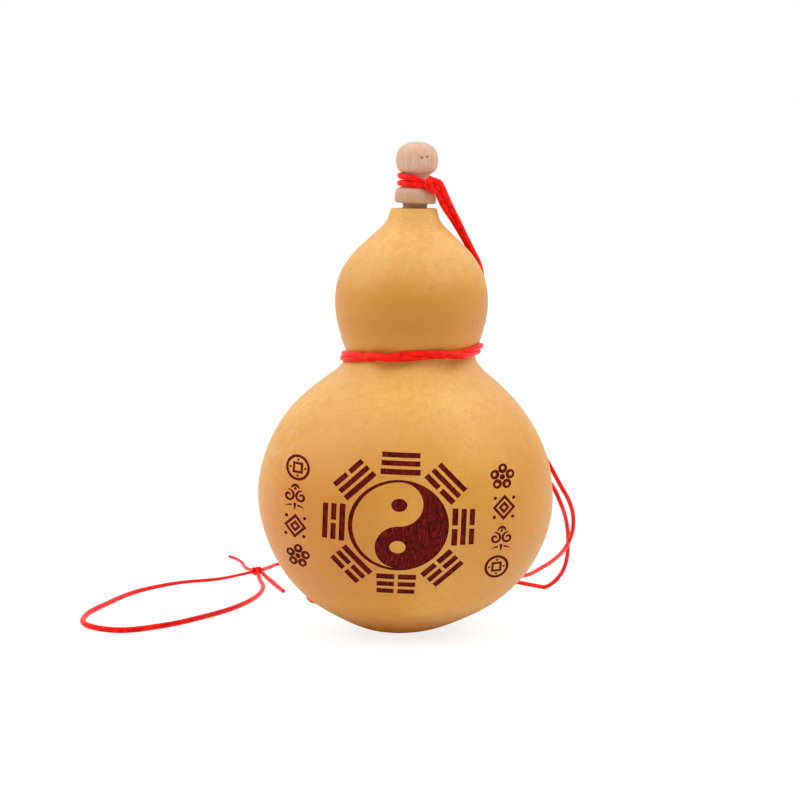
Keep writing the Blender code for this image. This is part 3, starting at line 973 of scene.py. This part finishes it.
# %% Routes of the tied cord
NECK_RADIUS = 4.6
NECK_WRAP_RADIUS = 1.1
HITCH_RADIUS = 1.05
INNER_TURN_RADIUS = 0.85
CLEAR, CLOSE = 0.05, 0.03
NECK_HITCH = [
    (10.9, -4.2, 157.6),
    (9.9, -5.8, 157.7),
    (8.5, -6.8, 158.4),
    (7.6, -7.2, 159.5),
    (7.7, -7.3, 160.9),
    (8.8, -7.3, 161.7),
    (10.3, -7.0, 161.4),
    (11.9, -6.2, 160.7),
    (12.5, -5.4, 159.7),
    (11.9, -5.5, 158.8),
    (10.8, -6.1, 159.2),
    (9.6, -6.0, 159.9),
    (8.2, -5.2, 160.5),
]
INNER_TURN = [
    (9.4, -6.6, 162.3),
    (8.7, -7.8, 161.3),
    (8.7, -8.1, 160.3),
    (9.2, -8.0, 159.1),
    (9.9, -7.2, 158.0),
    (10.8, -6.1, 157.2),
]
BEHIND_HITCH = [(8.6, -4.6, 161.3), (10.4, -4.7, 160.8), (11.9, -4.3, 160.2)]
# Angle around the neck in degrees, and height.
NECK_WRAPS = [
    (-60, 160.8),
    (-90, 161.8),
    (-135, 162.5),
    (-180, 162.8),
    (-225, 162.9),
    (-270, 162.7),
    (-315, 162.3),
    (-345, 161.8),
    (-365, 161.2),
    (-390, 160.4),
    (-420, 159.9),
    (-450, 159.9),
    (-495, 160.05),
    (-540, 160.2),
    (-585, 160.25),
    (-630, 160.25),
    (-675, 160.3),
    (-700, 160.5),
    (-722, 160.8),
]
LINE_IN_AIR = [(12.0, -5.2, 158.4), (14.2, -2.6, 153.6), (18.4, 3.2, 146.0)]
# Height, and angle around the bulb in degrees.
LINE_ON_BULB = [
    (135.0, 14),
    (131.0, 18),
    (127.0, 22.5),
    (121.0, 31),
    (113.0, 45),
    (106.0, 60),
    (101.6, 74),
]
LINE_STEP, LINE_SPACING = 2.0, 1.0
LINE_SIDE = Vector((-0.80, 0.35, -0.45))
LINE_MEETS_BULB, LINE_TURN_HEIGHT = 150, 20
# Each hump is a size, the place of its middle and a span. The left strand bows out in the air, and
# both draw together where they come down on the bulb.
LINE_BOW, LINE_PINCH = (0.15, 153.5, 3.5), (0.3, 140, 7)
FULL_LINE = [(0.0, 1.0), (0.04, 1.3), (0.11, 1.3), (0.2, 1.05), (1.0, 1.0)]
WAIST_KNOT_ANGLE, WAIST_KNOT_REACH, WAIST_KNOT_ROLL = 82, 26.8, 60
WAIST_KNOT_THICKNESS, WAIST_KNOT_ENDS = 2.1, 3.0
WAIST_KNOT_MIDDLE, WAIST_KNOT_DROP, WAIST_KNOT_SLANT = 1.9, 1.0, 0.15
WAIST_RING_HEIGHT, WAIST_SPACING, WAIST_STEP = 100.2, 1.03, 4
HIGHER_RIGHT, LOWER_BACK = 1.25, 1.0
RISE_AT_RIGHT, RISE_TURN = (0.8, 0, 0.35), 0.1
# The crossings' places are in degrees, and their spans in radians.
LEFT_CROSSING, RIGHT_CROSSING = 113, 50
LEFT_SPAN, RIGHT_SPAN = 0.27, 0.36
BEHIND_THE_WAIST = 2.2
CROSSING_LIFT = (1.7, 0, 0.32)
PRESSED_SHARE, PRESSED_FULLNESS = 0.08, 1.45
WELL_OUTSIDE = 80


def hump(value, size, middle, span):
    """Gives the full size at the middle, and less and less away from it."""
    return size * math.exp(-(((value - middle) / span) ** 2))


def on_skin(height, degrees, clear):
    """Gives a point this far off the gourd's real skin, at an angle from +X towards +Y."""
    turn = math.radians(degrees)
    out = Vector((math.cos(turn), math.sin(turn), 0))
    start = (Vector((lean(height), 0, height)) + out * WELL_OUTSIDE) * MM
    spot, normal, _, _ = skin_tree.ray_cast(start, -out)
    return spot / MM + normal * clear


def neck_route():
    """Winds twice around the stopper's neck, from the knot to the front and on around."""
    reach = NECK_RADIUS + NECK_WRAP_RADIUS + CLOSE
    route = []
    for degrees, height in NECK_WRAPS:
        turn = math.radians(degrees)
        route.append(stopper_pose @ Vector((reach * math.cos(turn), reach * math.sin(turn), height)))
    return route


def line_route(side):
    """Gives one strand of the doubled line, from the neck's knot to the waist's knot."""
    on_bulb = [on_skin(height, degrees, TIED_RADIUS + CLEAR) for height, degrees in LINE_ON_BULB]
    route = []
    for point in evenly_spaced(smooth_through(LINE_IN_AIR + on_bulb), LINE_STEP):
        radial = Vector((point.x - lean(point.z), point.y, 0)).normalized()
        around = Vector((-radial.y, radial.x, 0))
        share = min(1.0, max(0.0, (LINE_MEETS_BULB - point.z) / LINE_TURN_HEIGHT))
        spread = LINE_SPACING + hump(point.z, *LINE_BOW) * (side > 0)
        spread -= hump(point.z, *LINE_PINCH)
        route.append(point + LINE_SIDE.lerp(around, share).normalized() * spread * side)
    return route + [WAIST_KNOT]


def waist_route(side):
    """Gives one of the two strands around the waist, which cross twice on the front."""
    route = []
    for degrees in range(0, 360, WAIST_STEP):
        turn = math.radians(degrees)
        from_left = math.remainder(math.radians(degrees + LEFT_CROSSING), math.tau)
        from_right = math.remainder(math.radians(degrees + RIGHT_CROSSING), math.tau)
        swap = math.tanh(from_left / LEFT_SPAN) * math.tanh(from_right / RIGHT_SPAN)
        if abs(from_left) > BEHIND_THE_WAIST:
            swap = 1.0
        over = from_left if side > 0 else from_right
        lift = hump(over, *CROSSING_LIFT)
        height = WAIST_RING_HEIGHT + WAIST_SPACING * swap * side
        height += HIGHER_RIGHT * math.cos(turn) - LOWER_BACK * math.sin(turn)
        height += hump(math.remainder(turn + RISE_TURN, math.tau), *RISE_AT_RIGHT)
        route.append(on_skin(height, degrees, TIED_RADIUS + CLOSE + lift))
    return route


def fuller(crossing):
    """Makes the strand fuller where it lies over the other one, as flattened satin is."""
    share = 1 - crossing / 360
    before, after = share - PRESSED_SHARE, share + PRESSED_SHARE
    return [(0.0, 1.0), (before, 1.0), (share, PRESSED_FULLNESS), (after, 1.0), (1.0, 1.0)]


def closed_loop(route):
    """Joins a route's end to its start with no kink."""
    loop = smooth_through(route, 4, closed=True)
    return loop + [loop[0]]


turn = math.radians(WAIST_KNOT_ANGLE)
knot_x = WAIST_KNOT_MIDDLE + WAIST_KNOT_REACH * math.cos(turn)
knot_y = WAIST_KNOT_REACH * math.sin(turn)
WAIST_KNOT = Vector((knot_x, knot_y, WAIST_RING_HEIGHT - WAIST_KNOT_DROP))
waist_axis = (-math.sin(turn), math.cos(turn), WAIST_KNOT_SLANT)
neck = neck_route()
back_knot = knot_route(
    WAIST_KNOT, waist_axis, WAIST_KNOT_ROLL, WAIST_KNOT_THICKNESS, WAIST_KNOT_ENDS
)
left_line = smooth_through(NECK_HITCH[1:2] + line_route(1), 4)
right_line = smooth_through(BEHIND_HITCH + line_route(-1), 4)
high, low = closed_loop(waist_route(1)), closed_loop(waist_route(-1))
parts = [
    swept("neck_wraps", smooth_through(NECK_HITCH[-1:] + neck, 4), NECK_WRAP_RADIUS, step=0.5),
    swept("neck_hitch", smooth_through(NECK_HITCH + neck[:1], 8), HITCH_RADIUS, step=0.4),
    swept("inner_turn", smooth_through(INNER_TURN, 8), INNER_TURN_RADIUS, step=0.4),
    swept("line_left", left_line, TIED_RADIUS, fullness=FULL_LINE),
    swept("line_right", right_line, TIED_RADIUS, fullness=FULL_LINE),
    swept("waist_high", high, TIED_RADIUS, closed=True, fullness=fuller(LEFT_CROSSING)),
    swept("waist_low", low, TIED_RADIUS, closed=True, fullness=fuller(RIGHT_CROSSING)),
    swept("waist_knot", smooth_through(back_knot, 4), WAIST_KNOT_THICKNESS / 2, step=0.5),
]
tied_cord = joined("tied_cord_satin", parts)
print("tied cord:", len(tied_cord.data.polygons), "faces")

# %% [markdown]
# Below the waist the cord hangs free. Two strands leave the knot at the back, lie on the big bulb,
# bow out in the air on the right and come down to the table behind it. On the left they meet in a
# small barrel knot of two turns. A loop to hang the gourd by and the cord's two short ends leave
# the same knot.

# %% Routes of the hanging cord, in millimetres
REST = 0.8
PATH_STEP = 3.0
STRAND_A_ON_BULB = [(95.3, 78), (92.4, 73), (88.6, 64), (83.5, 52), (77.5, 40)]
STRAND_A_FREE = [
    (43.4, 23.0, 71.0),
    (49.0, 20.6, 63.5),
    (53.3, 20.4, 56.3),
    (57.0, 22.8, 49.4),
    (60.2, 28.0, 43.6),
    (62.5, 35.0, 36.9),
    (62.9, 41.0, 30.2),
    (61.6, 48.0, 24.0),
    (59.9, 59.0, 18.6),
    (57.2, 72.0, 13.2),
    (53.2, 87.0, 7.6),
    (49.6, 101.0, 2.9),
    (46.5, 111.0, REST),
    (35.0, 132.0, REST),
    (14.0, 148.0, REST),
    (-14.0, 156.0, REST),
    (-38.0, 152.0, REST),
    (-51.8, 141.0, REST),
    (-56.2, 131.5, REST),
    (-59.2, 118.3, 1.8),
]
STRAND_B_ON_BULB = [(95.3, 86), (92.0, 84), (88.0, 78), (82.5, 67), (76.0, 54), (69.0, 42)]
STRAND_B_FREE = [
    (44.6, 28.6, 61.5),
    (50.0, 26.6, 54.6),
    (54.7, 27.4, 47.9),
    (57.4, 32.0, 42.2),
    (59.7, 40.0, 36.2),
    (61.5, 49.0, 29.0),
    (62.2, 57.0, 22.7),
    (62.3, 66.0, 14.6),
    (61.0, 73.0, 8.6),
    (58.0, 79.4, 3.4),
    (54.6, 83.6, REST),
    (50.6, 88.0, REST),
    (43.0, 96.0, REST),
    (26.0, 102.0, REST),
    (4.0, 94.0, REST),
    (-12.0, 74.0, REST),
    (-24.0, 56.0, REST),
    (-33.4, 51.5, REST),
    (-36.9, 59.0, REST),
    (-37.0, 76.0, REST),
    (-39.0, 100.0, REST),
    (-44.5, 127.0, REST),
    (-51.4, 138.4, REST),
    (-55.4, 130.2, REST),
    (-57.8, 118.0, 1.8),
]
LOOP_ROUTE = [
    (-61.4, 113.9, 1.8),
    (-74.0, 103.4, REST),
    (-90.0, 93.8, REST),
    (-103.2, 76.0, REST),
    (-113.0, 47.0, REST),
    (-118.0, 22.0, REST),
    (-115.0, 3.0, REST),
    (-102.6, -6.4, REST),
    (-88.6, 1.6, REST),
    (-75.4, 18.4, REST),
    (-63.9, 39.6, REST),
    (-57.0, 64.0, REST),
    (-55.8, 84.0, REST),
    (-58.0, 101.0, REST),
    (-59.5, 113.0, 1.8),
]
TAIL_LEFT = [
    (-60.8, 116.0, 1.9),
    (-65.0, 128.6, REST),
    (-68.2, 144.4, REST),
    (-72.0, 155.1, REST),
    (-74.5, 159.0, REST),
]
TAIL_RIGHT = [(-58.4, 114.6, 1.9), (-53.9, 99.5, REST), (-51.0, 88.0, REST), (-47.1, 74.0, REST)]
FLOOR_KNOT = Vector((-59.9, 115.0, 1.95))


def hanging_strand(name, on_bulb, free, fullness):
    """Sweeps a strand from the knot at the waist, over the big bulb and down to the table."""
    points = [WAIST_KNOT] + [on_skin(h, a, HANGING_RADIUS + CLEAR) for h, a in on_bulb]
    return free_cord(name, points + free, fullness)


def free_cord(name, points, fullness):
    """Sweeps a free cord, and keeps the line that it follows, in metres, to be measured."""
    route = smooth_through(points)
    obj = swept(name, route, HANGING_RADIUS, around=12, step=0.9, fullness=fullness)
    line = [Vector((p.x, p.y, max(p.z, HANGING_RADIUS))) for p in evenly_spaced(route, PATH_STEP)]
    return obj, [tuple(point * MM) for point in line]


def length_of(line):
    """Adds up a line's length in metres."""
    return sum((Vector(b) - Vector(a)).length for a, b in zip(line, line[1:]))


BARREL_AXIS = Vector((-0.86, -0.5, 0.0)).normalized()
BARREL_STEPS, STEPS_A_TURN, BARREL_MIDDLE = 48, 21, 24
BARREL_PITCH, BARREL_RADIUS, BARREL_STRAND = 1.25, 1.05, 0.74
barrel = []
for step in range(BARREL_STEPS + 1):
    turn = math.tau * step / STEPS_A_TURN
    along = BARREL_PITCH * (step / STEPS_A_TURN - BARREL_MIDDLE / STEPS_A_TURN)
    across = BARREL_AXIS.cross((0, 0, 1)) * math.cos(turn) + Vector((0, 0, 1)) * math.sin(turn)
    barrel.append(FLOOR_KNOT + BARREL_AXIS * along + across * BARREL_RADIUS)
floor_knot = swept("floor_knot", barrel, BARREL_STRAND, step=0.3)
FULL_STRAND = [(0.0, 1.05), (0.6, 1.05), (0.85, 0.9), (0.92, 0.7), (1.0, 0.7)]
FULL_LOOP = [
    (0.0, 0.75),
    (0.1, 0.85),
    (0.22, 1.15),
    (0.38, 1.28),
    (0.5, 1.4),
    (0.65, 1.3),
    (0.85, 1.12),
    (1.0, 1.0),
]
cords = {
    "strand_a": hanging_strand("strand_a", STRAND_A_ON_BULB, STRAND_A_FREE, FULL_STRAND),
    "strand_b": hanging_strand("strand_b", STRAND_B_ON_BULB, STRAND_B_FREE, FULL_STRAND),
    "loop": free_cord("loop", LOOP_ROUTE, FULL_LOOP),
    "tail_left_end": free_cord("tail_left_end", TAIL_LEFT, [(0.0, 0.95), (1.0, 0.74)]),
    "tail_right_end": free_cord("tail_right_end", TAIL_RIGHT, [(0.0, 0.9), (0.5, 1.2), (1.0, 0.95)]),
}
for name, (obj, line) in cords.items():
    print(name, round(length_of(line) * 1000), "mm")

# %% [markdown]
# Satin cord has a core wrapped in fine, shiny thread that slants around it. The threads are a
# third of a millimetre wide. They are drawn twice as wide here, or they wouldn't show at all. Each
# one is a little ridge, and the light slides along them, so the red is painted paler on the ridges
# and deeper in between, as painted highlight and painted shade. Where the cord is pulled tight the
# satin is smooth and shines. Where it hangs it is slack and a little duller, and its red is painted
# a little deeper, as painted shade against the bright floor that lights it.


# %% Satin cord
THREADS_AROUND = 7
THREAD_PITCH = 1.1


def make_satin(name, shine, dark, middle, light):
    """Makes red satin cord, with slanting threads from the cord's own UV map."""
    material, tree, shader = new_material(name, IOR=1.45, Specular_IOR_Level=shine)
    on_cord = add_node(tree, "UVMap", uv_map="along_the_cord").outputs["UV"]
    shares = add_node(tree, "SeparateXYZ", {"Vector": on_cord})
    around = computed(tree, "MULTIPLY", shares.outputs["X"], THREADS_AROUND * math.tau)
    phase = computed(tree, "MULTIPLY_ADD", shares.outputs["Y"], math.tau / THREAD_PITCH, around)
    ridge = computed(tree, "SINE", phase)
    place = add_node(tree, "TexCoord").outputs["Object"]
    wear = clouded(tree, place, 2.2, 3)
    # Ridges painted paler and grooves deeper red: painted highlight and painted shade, with real
    # wear over them.
    ridge_highlight_and_wear = computed(tree, "MULTIPLY_ADD", ridge, 0.16, wear)
    colour = coloured(tree, ridge_highlight_and_wear, [(0.25, dark), (0.5, middle), (0.72, light)])
    tree.links.new(colour, shader.inputs["Base Color"])
    shader.inputs["Roughness"].default_value = 0.3
    tree.links.new(bumped(tree, ridge, 0.35, 0.05), shader.inputs["Normal"])
    return material


pulled = make_satin("red_satin_pulled_tight", 0.14, "#d00704", "#f01008", "#ff2814")
# The loose copy is painted a little deeper red than the tight one: painted shade for the cords that
# the bright floor lights.
loose = make_satin("red_satin_loose_painted_deeper", 0.07, "#cb0905", "#ea130b", "#fc2817")
for piece in [tied_cord, floor_knot] + [obj for obj, _ in cords.values()]:
    piece.data.materials.clear()
    piece.data.materials.append(pulled if piece == tied_cord else loose)
    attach(piece, "root")
print("satin on", 2 + len(cords), "pieces")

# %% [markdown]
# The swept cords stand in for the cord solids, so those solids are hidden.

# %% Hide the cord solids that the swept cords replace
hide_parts("tied_cord")
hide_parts("loop_knot")
STANDS_FOR = {
    "strand_a": "hanging_strand_a",
    "strand_b": "hanging_strand_b",
    "loop": "hanging_loop",
    "tail_left_end": "tail_left",
    "tail_right_end": "tail_right",
}
for name, (obj, line) in cords.items():
    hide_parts(STANDS_FOR[name])
print("cords declared:", list(cords))

# %% [markdown]
# The studio is a plain pale floor, lit from inside, that runs off into a white room. Two equal
# soft boxes stand high at the left and right, and the room glows more from behind and above, so
# the gourd has a bright shoulder on each side and no hard shadow.

# %% The floor, the room and the lights
bpy.ops.object.select_all(action="DESELECT")
bpy.ops.mesh.primitive_plane_add(size=12, location=(0, 0, 0))
floor = bpy.context.object
floor.name = "studio_floor"
material, tree, shader = new_material("lit_acrylic_floor", Roughness=0.9, Specular_IOR_Level=0.1)
shader.inputs["Base Color"].default_value = linear("#8c8c8c")
shader.inputs["Emission Color"].default_value = linear("#ffffff")
shader.inputs["Emission Strength"].default_value = 0.8
floor.data.materials.append(material)

world = bpy.data.worlds.new("white_room")
bpy.context.scene.world = world
world.use_nodes = True
room = world.node_tree
toward = add_node(room, "SeparateXYZ", {"Vector": add_node(room, "TexCoord").outputs["Generated"]})
wall = mapped(room, toward.outputs["Y"], -0.9, 0.5, 0.3, 0.75, "SMOOTHSTEP")
ceiling = mapped(room, toward.outputs["Z"], 0.1, 1.0, 0.0, 0.8)
glow = computed(room, "ADD", wall, ceiling)
to_camera = add_node(room, "LightPath").outputs["Is Camera Ray"]
seen = add_node(room, "Mix", {0: to_camera, 2: glow, 3: 1.0}, data_type="FLOAT").outputs[0]
room.links.new(seen, room.nodes["Background"].inputs["Strength"])
room.nodes["Background"].inputs["Color"].default_value = linear("#ffffff")

SOFTBOXES = {"left_softbox": (-0.80, -0.16, 0.72), "right_softbox": (0.66, -0.20, 0.80)}
SOFTBOX_SIZE, SOFTBOX_POWER = 0.9, 4.6
LIT_SPOT = Vector((0.0, 0.0, 0.09))
for name, place in SOFTBOXES.items():
    bpy.ops.object.light_add(type="AREA", location=place)
    light = bpy.context.object
    light.name = name
    light.data.shape = "SQUARE"
    light.data.size = SOFTBOX_SIZE
    light.data.energy = SOFTBOX_POWER
    light.rotation_euler = (LIT_SPOT - Vector(place)).to_track_quat("-Z", "Y").to_euler()
print("lights:", list(SOFTBOXES))
